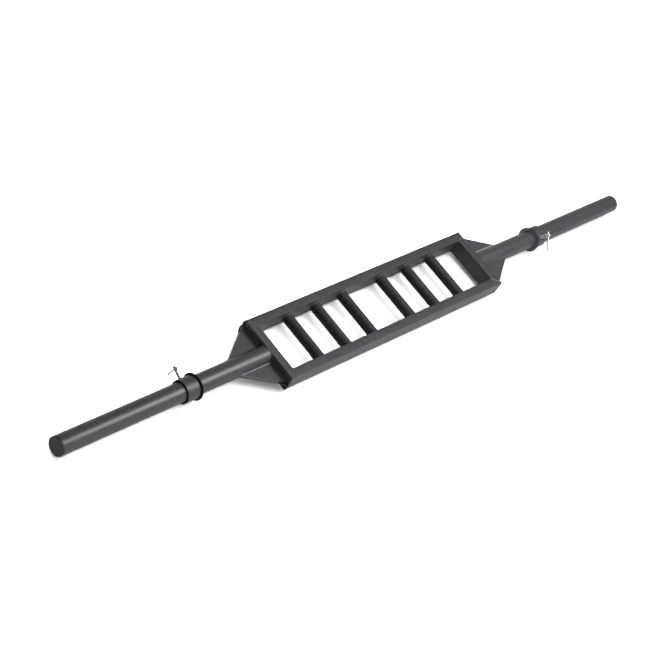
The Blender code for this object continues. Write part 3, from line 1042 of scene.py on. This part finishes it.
class SWISSBAR_OT_clamp_screws(bpy.types.Operator):
    """Makes the threaded clamp screws and their sliding tommy bars with knobs."""

    bl_idname = "swissbar.clamp_screws"
    bl_label = "Make Clamp Screws"

    def execute(self, context):
        for side in SIDES:
            mesh = screw_mesh(side, context.scene.swiss_bar_size)
            replaced = [f"{side}_clamp_screw"]
            new_piece(f"{side}_screw_body", mesh, f"{side}_screw", "screw_chrome", replaced)
            origin, along, arm = screw_place(side)
            level, rod = rod_place(side)
            foot = origin + along * level
            start, end = reach(f"{side}_tommy_bar", foot, arm)
            outline = [(start, 0), (start, rod), (end, rod), (end, 0)]
            turned = [("tommy_rod", f"{side}_tommy_bar", outline, ROD_STEPS)]
            for end_name in ("lower", "upper"):
                node = f"{side}_{end_name}_knob"
                near, far = sorted(reach(node, foot, arm), key=abs)
                radius = KNOB_SHARE * reach(node, foot, along)[1]
                outline = knob_outline(near, far, radius, rod)
                turned.append((f"{end_name}_tommy_knob", node, outline, SCREW_STEPS))
            for name, node, outline, steps in turned:
                mesh = turned_mesh(node, outline, steps)
                mesh.transform(frame_matrix(foot, arm, along))
                new_piece(f"{side}_{name}", mesh, f"{side}_tommy", "screw_chrome", [node])
        return {"FINISHED"}


# Stage
def floor_material(tone, lift, whiteness):
    """A plain pale floor that looks white to the camera and in reflections, but for deep shadows."""
    material = bpy.data.materials.new("Pale Floor")
    material.use_nodes = True
    tree = material.node_tree
    tree.nodes.clear()
    path = add_node(tree, "ShaderNodeLightPath")
    mirrored = maths(tree, "MULTIPLY_ADD", path["Is Glossy Ray"], lift, 1.0)
    level = maths(tree, "MULTIPLY_ADD", path["Is Camera Ray"], whiteness, mirrored)
    inputs = {"Color": scaled_colour(tree, tone, level)}
    surface = add_node(tree, "ShaderNodeBsdfDiffuse", inputs)[0]
    add_node(tree, "ShaderNodeOutputMaterial", {"Surface": surface})
    return material


def make_world(fill):
    """White for the camera, and for other rays a room that is dim on the bar's left."""
    world = bpy.data.worlds.new("Pale Studio")
    world.use_nodes = True
    bpy.context.scene.world = world
    tree = world.node_tree
    tree.nodes.clear()
    direction = add_node(tree, "ShaderNodeTexCoord")["Generated"]
    inputs = {0: direction, 1: DIM_SIDE}
    towards = add_node(tree, "ShaderNodeVectorMath", inputs, operation="DOT_PRODUCT")
    inputs = {"Value": towards["Value"], "From Max": 0.75, "To Min": 1.0, "To Max": 0.08}
    dim = add_node(tree, "ShaderNodeMapRange", inputs, interpolation_type="SMOOTHSTEP")[0]
    path = add_node(tree, "ShaderNodeLightPath")
    bright = maths(tree, "MULTIPLY_ADD", path["Is Glossy Ray"], GLOSSY_FILL, fill)
    strength = maths(tree, "MULTIPLY", dim, bright)
    room = add_node(tree, "ShaderNodeBackground", {"Strength": strength})[0]
    backdrop = add_node(tree, "ShaderNodeBackground", {"Color": (1, 1, 1, 1)})[0]
    inputs = {"Fac": path["Is Camera Ray"], 1: room, 2: backdrop}
    choice = add_node(tree, "ShaderNodeMixShader", inputs)[0]
    add_node(tree, "ShaderNodeOutputWorld", {"Surface": choice})


def add_lamp(name, kind, direction, **settings):
    """A light that shines from a direction, with its settings."""
    light = bpy.data.lights.new(name, kind)
    for key, value in settings.items():
        setattr(light, key, value)
    lamp = new_object(name, light)
    lamp.rotation_mode = "QUATERNION"
    lamp.rotation_quaternion = Vector(direction).to_track_quat("Z", "Y")
    return lamp


def add_sun(name, strength):
    """A distant soft light."""
    direction, angle = SUNS[name]
    return add_lamp(name, "SUN", direction, energy=strength, angle=math.radians(angle))


def add_softbox(name, power):
    """A rectangular softbox at a place, turned to a point."""
    stand, aim, width, length = SOFTBOXES[name]
    sizes = {"shape": "RECTANGLE", "size": width, "size_y": length}
    lamp = add_lamp(name, "AREA", Vector(stand) - Vector(aim), energy=power, **sizes)
    lamp.location = stand
    return lamp


def link_lamp(lamp, surfaces, state):
    """Keeps a lamp's light off some surfaces, or on them alone."""
    group = bpy.data.collections.new(f"{lamp.name}_receivers")
    for surface in surfaces:
        group.objects.link(surface)
    for entry in group.collection_objects:
        entry.light_linking.link_state = state
    lamp.light_linking.receiver_collection = group


def add_camera(studio):
    """The camera, rolled about its line of sight."""
    data = bpy.data.cameras.new("camera")
    data.sensor_width = 36
    data.lens = studio.camera_lens
    data.clip_end = 60
    camera = new_object("camera", data)
    bpy.context.scene.camera = camera
    stand, aim = Vector(studio.camera_place), Vector(studio.camera_aim)
    sight = (aim - stand).to_track_quat("-Z", "Y").to_matrix()
    roll = Matrix.Rotation(studio.camera_roll, 3, "Z")
    camera.matrix_world = Matrix.Translation(stand) @ (sight @ roll).to_4x4()


class SWISSBAR_OT_stage(bpy.types.Operator):
    """Sets up the floor, the lights, the white backdrop and the camera."""

    bl_idname = "swissbar.stage"
    bl_label = "Set Up Stage"

    def execute(self, context):
        scene = context.scene
        studio = scene.swiss_bar_studio
        mesh = bpy.data.meshes.new("floor")
        far = FLOOR_HALF
        corners = [(-far, -far, 0), (far, -far, 0), (far, far, 0), (-far, far, 0)]
        mesh.from_pydata(corners, [], [(0, 1, 2, 3)])
        tone = scene.swiss_bar_finish.floor
        mesh.materials.append(floor_material(tone, studio.floor_lift, studio.floor_whiteness))
        floor = new_object("floor", mesh)
        make_world(studio.fill_strength)
        rails = [frame["nodes"][node] for node in RAILS]
        link_lamp(add_softbox("key_softbox", studio.key_strength), [floor, *rails], "EXCLUDE")
        link_lamp(add_softbox("front_softbox", studio.front_strength), [floor], "EXCLUDE")
        link_lamp(add_sun("top_softbox", studio.top_strength), [floor], "EXCLUDE")
        link_lamp(add_sun("rail_softbox", studio.rail_strength), rails, "INCLUDE")
        link_lamp(add_sun("floor_softbox", studio.floor_strength), [floor], "INCLUDE")
        add_camera(studio)
        scene.view_settings.view_transform = "Standard"
        return {"FINISHED"}


# Panel and registration
class SWISSBAR_PT_panel(bpy.types.Panel):
    """Lists the bar's operators and settings."""

    bl_idname = "SWISSBAR_PT_panel"
    bl_label = "Swiss Bar"
    bl_space_type = "VIEW_3D"
    bl_region_type = "UI"
    bl_category = "Swiss Bar"

    def draw(self, context):
        for operator in OPERATORS:
            self.layout.operator(operator.bl_idname)
        for name in GROUPS:
            settings = getattr(context.scene, name)
            box = self.layout.box()
            for key in settings.__annotations__:
                box.prop(settings, key)


GROUPS = {
    "swiss_bar_finish": SwissBarFinish,
    "swiss_bar_size": SwissBarSize,
    "swiss_bar_studio": SwissBarStudio,
}
OPERATORS = (
    SWISSBAR_OT_frame_coat,
    SWISSBAR_OT_grips,
    SWISSBAR_OT_welds,
    SWISSBAR_OT_end_caps,
    SWISSBAR_OT_collar_ends,
    SWISSBAR_OT_clamp_screws,
    SWISSBAR_OT_stage,
)
CLASSES = (*GROUPS.values(), *OPERATORS, SWISSBAR_PT_panel)


def register():
    """Registers the classes and gives the scene their settings."""
    for entry in CLASSES:
        bpy.utils.register_class(entry)
    for name, group in GROUPS.items():
        setattr(bpy.types.Scene, name, PointerProperty(type=group))


def unregister():
    """Takes back what register did."""
    for name in GROUPS:
        delattr(bpy.types.Scene, name)
    for entry in reversed(CLASSES):
        bpy.utils.unregister_class(entry)


def main():
    """Builds every piece in order."""
    register()
    bpy.ops.swissbar.frame_coat()
    bpy.ops.swissbar.grips()
    bpy.ops.swissbar.welds()
    bpy.ops.swissbar.end_caps()
    bpy.ops.swissbar.collar_ends()
    bpy.ops.swissbar.clamp_screws()
    bpy.ops.swissbar.stage()


if __name__ == "__main__":
    main()
